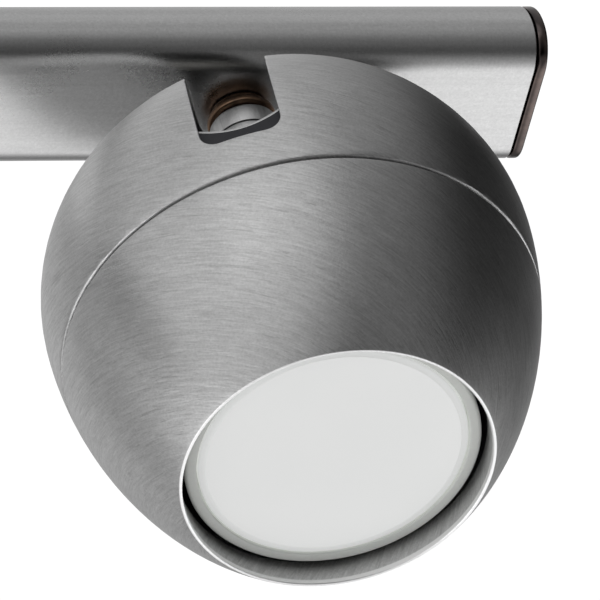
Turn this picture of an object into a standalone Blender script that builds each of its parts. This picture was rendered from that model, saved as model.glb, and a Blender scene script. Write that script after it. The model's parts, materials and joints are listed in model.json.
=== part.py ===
"""Two-spot ceiling light bar.

A slim channel hangs under the ceiling on a steel strap.  Two ball-shaped spots hang
from it.  Each spot turns about its upright stem (pan) and swings about a level axis
through the middle of its ball (tilt), with the stem passing through a slot in the rear
shell.  A steel yoke inside the ball joins the stem to the spot.

Frame: metres, +Z up, origin at the middle of the face that meets the ceiling,
+X along the bar, -Y towards the room.
"""

from math import asin, cos, degrees, pi, radians, sin, sqrt

import bmesh
import bpy
from mathutils import Matrix

MM = 0.001
GAP = 0.3                    # clearance between pieces that rest on each other, mm

# ---- driving dimensions, mm --------------------------------------------------------
BAR_LENGTH = 300.0           # over both end caps
BAR_WIDTH = 30.0
BAR_HEIGHT = 15.0
BAR_WALL = 1.5
BAR_LOW_RADIUS = 6.0         # corners next to the underside
BAR_HIGH_RADIUS = 11.0       # sides, curving in towards the ceiling
CAP_THICKNESS = 1.8
CAP_PLUG_DEPTH = 6.0
CAP_EDGE = 0.45              # rounding of the cap's outer edge

STEM_FROM_END = 53.0         # stem axis to the nearer end of the bar
PIVOT_DROP = 43.2            # underside of the bar to the middle of the ball

REST_PAN = -22.5             # degrees about +Z, 0 = slot facing -Y
REST_TILT = 4.0              # degrees, 0 = lamp pointing straight down

BALL_RADIUS = 41.9
BALL_REAR_DEPTH = 37.8       # middle of the ball to the rear pole
BALL_FRONT_REACH = 57.8      # where the front curve would close on the axis
BALL_FRONT_POWER = 1.9       # exponent of the front curve
RIM_DEPTH = 43.3             # middle of the ball to the front rim
SHELL_WALL = 2.0
FRONT_WALL_TAPER = 0.04      # extra wall for each mm towards the rim
RIM_BORE_RADIUS = 26.1
RIM_BORE_LENGTH = 5.2
GROOVE_DEPTH = 11.5          # middle of the ball to the joint between the shells
GROOVE_WIDTH = 0.5
SHELL_SEAT_RADIUS = 40.2     # counterbore in the rear shell
SHELL_SEAT_DEPTH = 7.3

SLOT_WIDTH = 13.8
SLOT_FRONT_DEPTH = 4.0       # slot's front end, ahead of the middle of the ball
SLOT_BACK_REACH = 7.0        # slot's far end, past the rear pole
SLOT_CORNER = 3.0

LAMP_RADIUS = 25.0           # 50 mm reflector lamp
LAMP_FACE_DEPTH = 39.3
LAMP_LENGTH = 47.0           # without its pins
LAMP_PIN_SPACING = 10.0
LAMP_PIN_LENGTH = 6.6
LAMP_PIN_RADIUS = 1.5
LAMP_PIN_HEAD = 2.4          # length of its thick end
LAMP_PIN_HEAD_RADIUS = 2.5
LAMP_BASE_RADIUS = 13.2
LAMP_NECK_LENGTH = 10.0
LAMP_WALL = 1.5
BEZEL_DEPTH = 2.9
BEZEL_EDGE = 0.5
LENS_RADIUS = 22.8
LENS_THICKNESS = 1.6
LENS_CROWN = 0.3
LENS_SEAT = 1.0              # ledge in the bezel, under the lens
LENS_SEAT_WIDTH = 1.6

HOLDER_RADIUS = 13.0
HOLDER_LENGTH = 15.0

COLLAR_RADIUS = 5.95
COLLAR_NECK_RADIUS = 5.0
COLLAR_NECK_TOP = 40.1       # heights above the middle of the ball
COLLAR_TOP = 39.4
COLLAR_SEAM = 35.5
COLLAR_BOTTOM = 33.5
COLLAR_CAVITY_RADIUS = 5.3
NIPPLE_RADIUS = 4.0
NIPPLE_ABOVE_FLOOR = 6.0     # its end above the bar's floor
FLANGE_DROP = 0.7            # its flange, below and above the seam
FLANGE_RISE = 0.8
BAR_NUT_FLATS = 12.0
BAR_NUT_HEIGHT = 3.0
BORE_RADIUS = 2.5            # wire passage through nipple and stem
STUB_RADIUS = 3.9
STUB_BOTTOM = 27.9
WASHER_RADIUS = 6.0
WASHER_LOW = 40.4
WASHER_STEP = 41.5
WASHER_NECK_RADIUS = 5.2
STEM_CHAMFER = 0.3

YOKE_RADIUS = 34.5           # across the pivot pins
YOKE_RISE = 32.4             # under the collar
YOKE_THICKNESS = 1.6
YOKE_WIDTH = 10.0
YOKE_NUT_FLATS = 11.0
YOKE_NUT_HEIGHT = 2.4
PIN_RADIUS = 2.0
PIN_HOLE_RADIUS = 2.3
PIN_HEAD_RADIUS = 3.3
PIN_HEAD_HEIGHT = 1.2

PLATE_DEPTH = 7.6            # chassis plate's rear face, ahead of the middle
PLATE_THICKNESS = 1.2
LUG_DISTANCE = 31.6          # inner face of the pivot lugs from the ball's axis
LUG_WIDTH = 9.0
PLATE_INNER_RADIUS = 27.0
LIP_DISTANCE = 37.1          # inner face of the lip behind the slot
LIP_HALF_WIDTH = 7.4
LIP_TOP = 1.4                # at its middle, above the middle of the ball
LIP_CURVE_RADIUS = 14.0
BRACKET_ARM_DISTANCE = 17.5
BRACKET_FOOT_REACH = 30.6
BRACKET_THICKNESS = 1.2
BRACKET_WIDTH = 12.0
BRACKET_SCREW_X = 28.6
BRACKET_SCREW_RADIUS = 1.0
HOLDER_SCREW_X = 8.5
HOLDER_SCREW_RADIUS = 1.1
HOLDER_SCREW_LENGTH = 4.0    # below the bracket
HOLDER_WELL_RADIUS = 3.0
HOLDER_WELL_DEPTH = 8.0
WIRE_HOLE_RADIUS = 2.0
BRACKET_WIRE_HOLE_RADIUS = 3.6
SCREW_HEAD_HEIGHT = 1.2

STRAP_LENGTH = 124.0
STRAP_WIDTH = 13.4
STRAP_THICKNESS = 2.0
STRAP_SLOT_OFFSET = 40.0
STRAP_SLOT_HALF_TRAVEL = 5.0
STRAP_SLOT_RADIUS = 2.6
STRAP_TAB_LENGTH = 12.0
STRAP_TAB_DEPTH = 10.0
GRUB_RADIUS = 1.5
GRUB_HOLE_RADIUS = 1.85
GRUB_Z = -6.5
GRUB_INNER_Y = 4.2
GRUB_OUTER_Y = 14.2
GRUB_SOCKET_RADIUS = 0.8
GRUB_SOCKET_DEPTH = 1.6

CABLE_HOLE_X = 20.0
CABLE_HOLE_RADIUS = 5.0
GROMMET_WALL = 1.2
GROMMET_LIP = 1.5

TERMINAL_LENGTH = 24.0
TERMINAL_WIDTH = 16.0
TERMINAL_HEIGHT = 8.5
TERMINAL_POLES = 3
TERMINAL_PITCH = 5.0
TERMINAL_WAY_RADIUS = 1.6
TERMINAL_WELL_RADIUS = 1.7
EARTH_X = -26.0
EARTH_Y = 5.2
EARTH_RADIUS = 2.0
EARTH_HEIGHT = 7.0
EARTH_NUT_RADIUS = 3.6
EARTH_NUT_HEIGHT = 1.6
EARTH_TAG_RADIUS = 4.2
EARTH_TAG_THICKNESS = 0.9
BAR_LEAD_RADIUS = 1.5
HOLDER_LEAD_RADIUS = 1.2

THROUGH = 2.0                # how far a cutter runs past the faces it cuts

SHELL_SEGMENTS = 40
ROUND_SEGMENTS = 20
SMALL_SEGMENTS = 12
LAMP_SEGMENTS = 28
REAR_STEPS = 7               # rings from the ball's equator to its rear pole
YOKE_STEPS = 16
YOKE_END_DEGREES = (10, 26, 42, 58, 74)   # round the yoke's ears, from the bottom up

# ---- worked out from the above -----------------------------------------------------
FLOOR_Z = -BAR_HEIGHT + BAR_WALL
PIVOT_Z = -BAR_HEIGHT - PIVOT_DROP
STEM_X = BAR_LENGTH / 2 - STEM_FROM_END
CORNER_Z = -BAR_HEIGHT + BAR_LOW_RADIUS
LAMP_BASE_DEPTH = LAMP_FACE_DEPTH - LAMP_LENGTH
HOLDER_FRONT_DEPTH = LAMP_BASE_DEPTH - GAP
HOLDER_BACK_DEPTH = HOLDER_FRONT_DEPTH - HOLDER_LENGTH
SIDES = (("left", -1), ("right", 1))


# ---- materials ---------------------------------------------------------------------
def make_material(name, colour, roughness, metallic):
    material = bpy.data.materials.new(name)
    material.use_nodes = True
    shader = material.node_tree.nodes["Principled BSDF"]
    shader.inputs["Base Color"].default_value = (*colour, 1.0)
    shader.inputs["Roughness"].default_value = roughness
    shader.inputs["Metallic"].default_value = metallic
    material.diffuse_color = (*colour, 1.0)
    return material


FINISHES = {
    "satin_nickel": ((0.42, 0.42, 0.42), 0.38, 1.0),
    "dark_chrome": ((0.10, 0.09, 0.09), 0.12, 1.0),
    "brass": ((0.72, 0.52, 0.26), 0.30, 1.0),
    "zinc_steel": ((0.60, 0.61, 0.62), 0.42, 1.0),
    "ceramic": ((0.85, 0.83, 0.78), 0.55, 0.0),
    "frosted_white": ((0.92, 0.93, 0.92), 0.45, 0.0),
    "lamp_white": ((0.84, 0.86, 0.82), 0.40, 0.0),
    "nylon": ((0.80, 0.80, 0.76), 0.50, 0.0),
    "black_rubber": ((0.03, 0.03, 0.03), 0.70, 0.0),
    "wire_sheath": ((0.75, 0.74, 0.70), 0.60, 0.0),
}


# ---- mesh helpers, all in mm -------------------------------------------------------
def new_object(name, build):
    """Make an object whose mesh, still in mm, is filled by build(bmesh) and faces out."""
    work = bmesh.new()
    build(work)
    bmesh.ops.recalc_face_normals(work, faces=work.faces)
    mesh = bpy.data.meshes.new(name)
    work.to_mesh(mesh)
    work.free()
    item = bpy.data.objects.new(name, mesh)
    bpy.context.collection.objects.link(item)
    return item


def lathe(name, profile, segments=ROUND_SEGMENTS):
    """Turn a closed profile of (radius, z) points about Z."""
    def build(work):
        rings = []
        for radius, height in profile:
            if radius == 0.0:
                rings.append([work.verts.new((0.0, 0.0, height))])
                continue
            ring = []
            for step in range(segments):
                angle = 2 * pi * (step + 0.5) / segments
                ring.append(work.verts.new((radius * cos(angle), radius * sin(angle), height)))
            rings.append(ring)
        for ring, following in zip(rings, rings[1:] + rings[:1]):
            if len(ring) == 1 and len(following) == 1:
                continue
            for step in range(segments):
                after = (step + 1) % segments
                corners = [ring[step % len(ring)], ring[after % len(ring)],
                           following[after % len(following)], following[step % len(following)]]
                distinct = list(dict.fromkeys(corners))
                work.faces.new(distinct)
    return new_object(name, build)


def loft(name, sections):
    """Skin closed outlines of equal point counts; each section is a list of points."""
    def build(work):
        loops = [[work.verts.new(point) for point in section] for section in sections]
        for loop, following in zip(loops, loops[1:]):
            count = len(loop)
            for step in range(count):
                after = (step + 1) % count
                work.faces.new((loop[step], loop[after], following[after], following[step]))
        work.faces.new(loops[0])
        work.faces.new(loops[-1])
    return new_object(name, build)


def box(name, x_range, y_range, z_range):
    """Axis-aligned block from three (low, high) pairs."""
    def ring(height):
        return [(x_range[0], y_range[0], height), (x_range[1], y_range[0], height),
                (x_range[1], y_range[1], height), (x_range[0], y_range[1], height)]
    return loft(name, [ring(z_range[0]), ring(z_range[1])])


def rod(name, radius, start, end, segments=SMALL_SEGMENTS):
    """Solid cylinder between two points on a line along X, Y or Z."""
    length = sqrt(sum((b - a) ** 2 for a, b in zip(start, end)))
    item = lathe(name, [(0.0, 0.0), (radius, 0.0), (radius, length), (0.0, length)], segments)
    direction = [(b - a) / length for a, b in zip(start, end)]
    if abs(direction[0]) > 0.5:
        turn = Matrix.Rotation(pi / 2 * direction[0], 4, "Y")
    elif abs(direction[1]) > 0.5:
        turn = Matrix.Rotation(-pi / 2 * direction[1], 4, "X")
    else:
        turn = Matrix.Rotation(0.0 if direction[2] > 0 else pi, 4, "X")
    item.data.transform(Matrix.Translation(start) @ turn)
    return item


def combine(item, others, operation):
    """Boolean each of the others into item for good, and remove them."""
    for other in others:
        modifier = item.modifiers.new(operation, "BOOLEAN")
        modifier.operation = operation
        modifier.solver = "EXACT"
        modifier.object = other
        bpy.context.view_layer.update()
        evaluated = item.evaluated_get(bpy.context.evaluated_depsgraph_get())
        mesh = bpy.data.meshes.new_from_object(evaluated)
        item.modifiers.clear()
        item.data = mesh
        bpy.data.objects.remove(other)
    return item


def cut(item, *cutters):
    return combine(item, cutters, "DIFFERENCE")


def join(item, *others):
    return combine(item, others, "UNION")


def arc(centre, radius, start_degrees, end_degrees, steps):
    """Points on an arc in a plane, both ends included."""
    points = []
    for step in range(steps + 1):
        angle = radians(start_degrees + (end_degrees - start_degrees) * step / steps)
        points.append((centre[0] + radius * cos(angle), centre[1] + radius * sin(angle)))
    return points


def hexagon(name, across_flats, z_range, hole_radius):
    """Hexagon nut with its axis on Z."""
    corner = across_flats / 2 / cos(pi / 6)
    outline = arc((0.0, 0.0), corner, 0.0, 300.0, 5)
    nut = loft(name, [[(x, y, z) for x, y in outline] for z in z_range])
    return cut(nut, rod("hole", hole_radius, (0, 0, z_range[0] - 1), (0, 0, z_range[1] + 1)))


def tube(name, points, radius, sides_resolution=2):
    """Wire along a smooth curve through the points, with filled ends."""
    curve = bpy.data.curves.new(name, "CURVE")
    curve.dimensions = "3D"
    curve.bevel_depth = radius * MM
    curve.bevel_resolution = sides_resolution
    curve.use_fill_caps = True
    spline = curve.splines.new("POLY")
    spline.points.add(len(points) - 1)
    for place, point in zip(spline.points, points):
        place.co = (*[value * MM for value in point], 1.0)
    item = bpy.data.objects.new(name, curve)
    bpy.context.collection.objects.link(item)
    return item


def smooth_route(points, per_span):
    """Catmull-Rom curve through the points, per_span points for each stretch."""
    padded = [points[0]] + list(points) + [points[-1]]
    route = []
    for index in range(1, len(padded) - 2):
        before, here, there, beyond = padded[index - 1:index + 3]
        for step in range(per_span):
            t = step / per_span
            point = []
            for a, b, c, d in zip(before, here, there, beyond):
                point.append(0.5 * (2 * b + (c - a) * t + (2 * a - 5 * b + 4 * c - d) * t ** 2
                                    + (3 * b - a - 3 * c + d) * t ** 3))
            route.append(tuple(point))
    route.append(tuple(points[-1]))
    return route


# ---- the bar -----------------------------------------------------------------------
def bar_half(inset):
    """Right half of the bar's outline in (y, z), from the underside up to the ceiling."""
    low = BAR_LOW_RADIUS - inset
    high = BAR_HIGH_RADIUS - inset
    low_centre = (BAR_WIDTH / 2 - BAR_LOW_RADIUS, CORNER_Z)
    high_centre = (BAR_WIDTH / 2 - BAR_HIGH_RADIUS, CORNER_Z)
    top_angle = degrees(asin(-CORNER_Z / high))
    return arc(low_centre, low, -90, 0, 5) + arc(high_centre, high, 0, top_angle, 6)[1:]


def bar_outline(inset):
    """Whole outline, right ceiling edge, round the underside, to the left ceiling edge."""
    half = bar_half(inset)
    return half[::-1] + [(-y, z) for y, z in half]


def along_bar(outline, x):
    return [(x, y, z) for y, z in outline]


def make_bar():
    wall = bar_outline(0.0) + bar_outline(BAR_WALL)[::-1]
    end = BAR_LENGTH / 2 - CAP_THICKNESS - GAP
    profile = loft("bar_profile", [along_bar(wall, -end), along_bar(wall, end)])
    for _, side in SIDES:
        x = side * STEM_X
        below = (x, 0, -BAR_HEIGHT - THROUGH)
        cut(profile, rod("hole", NIPPLE_RADIUS + GAP, below, (x, 0, FLOOR_Z + THROUGH)))
        x = side * (STRAP_LENGTH - STRAP_TAB_LENGTH) / 2
        within = (x, BAR_WIDTH / 2 - BAR_WALL - THROUGH, GRUB_Z)
        cut(profile, rod("hole", GRUB_HOLE_RADIUS, within, (x, BAR_WIDTH / 2 + THROUGH, GRUB_Z)))
    return profile


def make_end_cap(name, side):
    """Plate over the bar's end with a plug that grips inside the channel."""
    outer = BAR_LENGTH / 2
    inner = outer - CAP_THICKNESS
    flat = along_bar(bar_outline(0.0), side * inner)
    edge = along_bar(bar_outline(0.0), side * (outer - CAP_EDGE))
    face = along_bar(bar_outline(CAP_EDGE), side * outer)
    plate = loft(name, [flat, edge, face])
    plug = bar_outline(BAR_WALL + GAP)
    start = side * (inner - CAP_PLUG_DEPTH)
    middle = side * (inner + CAP_THICKNESS / 3)
    solid = loft("plug", [along_bar(plug, start), along_bar(plug, middle)])
    return join(plate, solid)


# ---- ceiling strap and wiring --------------------------------------------------------
def make_strap():
    """Ceiling strap with two fixing slots, a cable hole and two turned-down tabs."""
    half = STRAP_LENGTH / 2
    side = STRAP_WIDTH / 2
    strap = box("ceiling_strap", (-half, half), (-side, side), (-STRAP_THICKNESS, 0.0))
    for sign in (-1, 1):
        inner = sign * (half - STRAP_TAB_LENGTH)
        tab_x = sorted((inner, sign * half))
        tab_y = (side - STRAP_THICKNESS, side)
        join(strap, box("tab", tab_x, tab_y, (-STRAP_TAB_DEPTH, -STRAP_THICKNESS / 2)))
        x = sign * (half - STRAP_TAB_LENGTH / 2)
        cut(strap, rod("hole", GRUB_HOLE_RADIUS, (x, 0, GRUB_Z), (x, side + THROUGH, GRUB_Z)))
        middle = sign * STRAP_SLOT_OFFSET
        travel = STRAP_SLOT_HALF_TRAVEL
        round_ends = (arc((middle + travel, 0.0), STRAP_SLOT_RADIUS, -90, 90, 6)
                      + arc((middle - travel, 0.0), STRAP_SLOT_RADIUS, 90, 270, 6))
        heights = (-STRAP_THICKNESS - THROUGH, THROUGH)
        cut(strap, loft("slot", [[(x, y, z) for x, y in round_ends] for z in heights]))
    bottom = (CABLE_HOLE_X, 0, -STRAP_THICKNESS - THROUGH)
    return cut(strap, rod("hole", CABLE_HOLE_RADIUS, bottom, (CABLE_HOLE_X, 0, THROUGH), ROUND_SEGMENTS))


def make_grommet():
    """Rubber bush in the cable hole, with a flange under the strap."""
    outer = CABLE_HOLE_RADIUS - GAP
    inner = outer - GROMMET_WALL
    lip = outer + GROMMET_LIP
    under = -STRAP_THICKNESS - GAP
    bottom = under - GROMMET_WALL
    grommet = lathe("cable_grommet", [(inner, bottom), (lip, bottom), (lip, under), (outer, under),
                                      (outer, -GAP), (inner, -GAP)])
    grommet.data.transform(Matrix.Translation((CABLE_HOLE_X, 0, 0)))
    return grommet


def make_grub(name, side):
    x = side * (STRAP_LENGTH - STRAP_TAB_LENGTH) / 2
    screw = rod(name, GRUB_RADIUS, (x, GRUB_INNER_Y, GRUB_Z), (x, GRUB_OUTER_Y, GRUB_Z))
    bottom = (x, GRUB_OUTER_Y - GRUB_SOCKET_DEPTH, GRUB_Z)
    return cut(screw, rod("socket", GRUB_SOCKET_RADIUS, bottom, (x, GRUB_OUTER_Y + THROUGH, GRUB_Z), 6))


def make_terminal_block():
    """Three-pole block, screwed from above, wires in from both ends."""
    half = TERMINAL_LENGTH / 2
    side = TERMINAL_WIDTH / 2
    low = FLOOR_Z + GAP
    high = low + TERMINAL_HEIGHT
    middle = low + TERMINAL_HEIGHT / 2
    block = box("terminal_block", (-half, half), (-side, side), (low, high))
    for pole in range(TERMINAL_POLES):
        y = (pole - (TERMINAL_POLES - 1) / 2) * TERMINAL_PITCH
        start = (-half - THROUGH, y, middle)
        cut(block, rod("way", TERMINAL_WAY_RADIUS, start, (half + THROUGH, y, middle)))
        cut(block, rod("well", TERMINAL_WELL_RADIUS, (0, y, middle), (0, y, high + THROUGH)))
    return block


def make_earth_stud():
    """Stud standing on the bar's floor, with the nut that clamps the ring tag."""
    bottom = FLOOR_Z + GAP
    top = FLOOR_Z + EARTH_HEIGHT
    nut_low = bottom + EARTH_TAG_THICKNESS + GAP
    nut_high = nut_low + EARTH_NUT_HEIGHT
    profile = [(0.0, top), (EARTH_RADIUS, top), (EARTH_RADIUS, nut_high), (EARTH_NUT_RADIUS, nut_high),
               (EARTH_NUT_RADIUS, nut_low), (EARTH_RADIUS, nut_low), (EARTH_RADIUS, bottom), (0.0, bottom)]
    stud = lathe("earth_stud", profile, SMALL_SEGMENTS)
    stud.data.transform(Matrix.Translation((EARTH_X, EARTH_Y, 0)))
    return stud


def make_earth_tag():
    """Brass ring tag under the earth stud's nut, with a neck for the crimp."""
    low = FLOOR_Z + GAP
    high = low + EARTH_TAG_THICKNESS
    inner = EARTH_RADIUS + GAP
    outer = EARTH_TAG_RADIUS
    tag = lathe("earth_tag", [(inner, low), (outer, low), (outer, high), (inner, high)], SMALL_SEGMENTS)
    neck_half = outer / 3
    neck_x = (outer - 0.6, 2 * outer)
    join(tag, box("neck", neck_x, (-neck_half, neck_half), (low, high)))
    tag.data.transform(Matrix.Translation((EARTH_X, EARTH_Y, 0)))
    return tag


def make_bar_lead(name, side):
    """Two-core lead from the terminal block, along the bar and down through the stem."""
    start = side * (TERMINAL_LENGTH / 2 + 0.6)
    height = FLOOR_Z + GAP + TERMINAL_HEIGHT / 2
    x = side * STEM_X
    bore_top = FLOOR_Z + NIPPLE_ABOVE_FLOOR + 1.0
    points = [(start, 0.0, height), (side * 24.0, 0.0, height + 0.4),
              (side * 33.0, -4.5, FLOOR_Z + 4.0), (side * 50.0, -5.0, FLOOR_Z + 2.6),
              (side * 72.0, -3.0, FLOOR_Z + 3.6), (x - side * 8.0, -0.6, bore_top + 1.6),
              (x - side * 2.2, 0.0, bore_top + 1.8), (x, 0.0, bore_top - 1.5),
              (x, 0.0, PIVOT_Z + 45.0), (x, 0.0, PIVOT_Z + STUB_BOTTOM + 2.0)]
    return tube(name, smooth_route(points, 4), BAR_LEAD_RADIUS)


# ---- stem: fixed part, pan part ------------------------------------------------------
def make_washer(name):
    """Stepped brass washer between the bar's underside and the swivel collar."""
    top = PIVOT_DROP - GAP
    low = WASHER_LOW
    inner = NIPPLE_RADIUS + GAP
    neck = WASHER_NECK_RADIUS
    return lathe(name, [(inner, low), (WASHER_RADIUS - STEM_CHAMFER, low),
                        (WASHER_RADIUS, low + STEM_CHAMFER), (WASHER_RADIUS, WASHER_STEP),
                        (neck, WASHER_STEP), (neck, top), (inner, top)])


def make_nipple(name):
    """Hollow threaded nipple; its lower flange carries the swivel collar."""
    top = PIVOT_DROP + BAR_WALL + NIPPLE_ABOVE_FLOOR
    flange_low = COLLAR_SEAM - FLANGE_DROP
    flange_high = COLLAR_SEAM + FLANGE_RISE
    flange = COLLAR_CAVITY_RADIUS - GAP
    return lathe(name, [(BORE_RADIUS, flange_low), (flange, flange_low), (flange, flange_high),
                        (NIPPLE_RADIUS, flange_high), (NIPPLE_RADIUS, top), (BORE_RADIUS, top)])


def make_bar_nut(name):
    low = PIVOT_DROP + BAR_WALL + GAP
    return hexagon(name, BAR_NUT_FLATS, (low, low + BAR_NUT_HEIGHT), NIPPLE_RADIUS + GAP)


def make_collar_cap(name):
    """Upper half of the swivel collar, held up by the nipple's flange."""
    low = COLLAR_SEAM + GAP / 2
    inner = NIPPLE_RADIUS + GAP
    roof = COLLAR_SEAM + FLANGE_RISE + GAP
    top = COLLAR_TOP
    outer = COLLAR_RADIUS
    neck = COLLAR_NECK_RADIUS
    return lathe(name, [(COLLAR_CAVITY_RADIUS, low), (outer, low), (outer, top - STEM_CHAMFER),
                        (outer - STEM_CHAMFER, top), (neck, top), (neck, COLLAR_NECK_TOP),
                        (inner, COLLAR_NECK_TOP), (inner, roof), (COLLAR_CAVITY_RADIUS, roof)])


def make_swivel_stem(name):
    """Lower half of the swivel collar with the threaded stub that carries the yoke."""
    top = COLLAR_SEAM - GAP / 2
    floor = COLLAR_SEAM - FLANGE_DROP - GAP
    return lathe(name, [(BORE_RADIUS, STUB_BOTTOM), (STUB_RADIUS, STUB_BOTTOM),
                        (STUB_RADIUS, COLLAR_BOTTOM), (COLLAR_RADIUS, COLLAR_BOTTOM),
                        (COLLAR_RADIUS, top), (COLLAR_CAVITY_RADIUS, top),
                        (COLLAR_CAVITY_RADIUS, floor), (BORE_RADIUS, floor)])


def make_yoke(name):
    """Half hoop inside the ball, from one pivot pin over the stem to the other."""
    outer = YOKE_RADIUS + YOKE_THICKNESS / 2
    inner = YOKE_RADIUS - YOKE_THICKNESS / 2
    outer_rise = YOKE_RISE + YOKE_THICKNESS / 2
    inner_rise = YOKE_RISE - YOKE_THICKNESS / 2
    half = YOKE_WIDTH / 2
    right_end = []
    for turn in YOKE_END_DEGREES:
        right_end.append((0.0, -half * cos(radians(turn)), half * sin(radians(turn))))
    hoop = [(pi * step / YOKE_STEPS, 0.0, half) for step in range(YOKE_STEPS + 1)]
    left_end = [(pi, lower, width) for _, lower, width in reversed(right_end)]
    stations = right_end + hoop + left_end
    sections = []
    for angle, lower, width in stations:
        near = (inner * cos(angle), inner_rise * sin(angle) + lower)
        far = (outer * cos(angle), outer_rise * sin(angle) + lower)
        sections.append([(near[0], -width, near[1]), (far[0], -width, far[1]),
                         (far[0], width, far[1]), (near[0], width, near[1])])
    yoke = loft(name, sections)
    cut(yoke, rod("eye", PIN_HOLE_RADIUS, (-outer - THROUGH, 0, 0), (outer + THROUGH, 0, 0)))
    below = (0, 0, inner_rise - THROUGH)
    return cut(yoke, rod("hole", STUB_RADIUS + GAP, below, (0, 0, outer_rise + THROUGH)))


def make_yoke_nut(name):
    corner = YOKE_NUT_FLATS / 2 / cos(pi / 6)
    inner = YOKE_RADIUS - YOKE_THICKNESS / 2
    inner_rise = YOKE_RISE - YOKE_THICKNESS / 2
    top = inner_rise * sqrt(1 - (corner / inner) ** 2) - GAP
    return hexagon(name, YOKE_NUT_FLATS, (top - YOKE_NUT_HEIGHT, top), STUB_RADIUS + GAP)


# ---- spot head, local frame: origin in the ball, lamp towards -Z, slot towards -Y ------
def front_radius(depth):
    """Outer radius of the front shell at a depth ahead of the middle of the ball."""
    power = BALL_FRONT_POWER
    return BALL_RADIUS * (1 - (depth / BALL_FRONT_REACH) ** power) ** (1 / power)


def depth_steps(first, last, count):
    return [first + (last - first) * step / count for step in range(count + 1)]


def make_rear_shell(name):
    """Rear half of the ball with the stem slot and a seat for the chassis plate."""
    edge = GROOVE_DEPTH - GROOVE_WIDTH / 2
    outer = [(front_radius(depth), -depth) for depth in depth_steps(edge, 0.0, 2)]
    for step in range(1, REAR_STEPS + 1):
        angle = pi / 2 * step / REAR_STEPS
        radius = BALL_RADIUS * cos(angle) if step < REAR_STEPS else 0.0
        outer.append((radius, BALL_REAR_DEPTH * sin(angle)))
    inner_radius = BALL_RADIUS - SHELL_WALL
    inner_depth = BALL_REAR_DEPTH - SHELL_WALL
    inner = []
    for step in range(REAR_STEPS, -1, -1):
        angle = pi / 2 * step / REAR_STEPS
        radius = inner_radius * cos(angle) if step < REAR_STEPS else 0.0
        inner.append((radius, inner_depth * sin(angle)))
    seat = front_radius(SHELL_SEAT_DEPTH) - SHELL_WALL
    inner += [(seat, -SHELL_SEAT_DEPTH), (SHELL_SEAT_RADIUS, -SHELL_SEAT_DEPTH),
              (SHELL_SEAT_RADIUS, -edge)]
    shell = lathe(name, outer + inner, SHELL_SEGMENTS)
    half = SLOT_WIDTH / 2
    low = -SLOT_FRONT_DEPTH
    above = BALL_REAR_DEPTH + THROUGH
    outline = (arc((SLOT_CORNER - half, low + SLOT_CORNER), SLOT_CORNER, 180, 270, 4)
               + arc((half - SLOT_CORNER, low + SLOT_CORNER), SLOT_CORNER, 270, 360, 4)
               + [(half, above), (-half, above)])
    reach = (-BALL_RADIUS - THROUGH, SLOT_BACK_REACH)
    return cut(shell, loft("slot", [[(x, y, z) for x, z in outline] for y in reach]))


def make_front_shell(name):
    """Front shell, with a spigot into the rear shell and a short bore round the lamp."""
    edge = GROOVE_DEPTH + GROOVE_WIDTH / 2
    outer = [(front_radius(depth), -depth) for depth in depth_steps(edge, RIM_DEPTH, 7)]
    bore_back = RIM_DEPTH - RIM_BORE_LENGTH
    inner = [(RIM_BORE_RADIUS, -RIM_DEPTH), (RIM_BORE_RADIUS, -bore_back)]
    for depth in depth_steps(bore_back - SHELL_WALL, edge, 4):
        inner.append((front_radius(depth) - SHELL_WALL - FRONT_WALL_TAPER * (depth - edge), -depth))
    spigot_end = PLATE_DEPTH + PLATE_THICKNESS + GAP
    spigot_radius = SHELL_SEAT_RADIUS - GAP
    spigot_bore = front_radius(edge) - SHELL_WALL - GAP
    inner += [(spigot_bore, -spigot_end), (spigot_radius, -spigot_end), (spigot_radius, -edge)]
    return lathe(name, outer + inner, SHELL_SEGMENTS)


def make_chassis(name):
    """Plate clamped between the shells: two lugs for the pivot pins, a lip behind the slot."""
    rear = -PLATE_DEPTH
    front = rear - PLATE_THICKNESS
    root = rear - PLATE_THICKNESS / 2
    outer = SHELL_SEAT_RADIUS - GAP
    inner = PLATE_INNER_RADIUS
    plate = lathe(name, [(inner, rear), (outer, rear), (outer, front), (inner, front)], LAMP_SEGMENTS)
    for side in (-1, 1):
        x_range = sorted((side * LUG_DISTANCE, side * (LUG_DISTANCE + PLATE_THICKNESS)))
        half = LUG_WIDTH / 2
        outline = [(-half, root), (half, root)] + arc((0.0, 0.0), half, 0, 180, 8)
        lug = loft("lug", [[(x, y, z) for y, z in outline] for x in x_range])
        join(plate, lug)
        inside = (side * (LUG_DISTANCE - THROUGH), 0, 0)
        outside = (side * (LUG_DISTANCE + PLATE_THICKNESS + THROUGH), 0, 0)
        cut(plate, rod("hole", PIN_HOLE_RADIUS, inside, outside))
        x = side * BRACKET_SCREW_X
        cut(plate, rod("hole", BRACKET_SCREW_RADIUS + GAP, (x, 0, front - THROUGH), (x, 0, rear + THROUGH)))
    edge = [(-LIP_HALF_WIDTH, root), (LIP_HALF_WIDTH, root)]
    for share in (1.0, 0.5, 0.0, -0.5, -1.0):
        x = share * LIP_HALF_WIDTH
        edge.append((x, LIP_TOP + x ** 2 / (2 * LIP_CURVE_RADIUS)))
    y_range = (-LIP_DISTANCE - PLATE_THICKNESS, -LIP_DISTANCE)
    return join(plate, loft("lip", [[(x, y, z) for x, z in edge] for y in y_range]))


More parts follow.
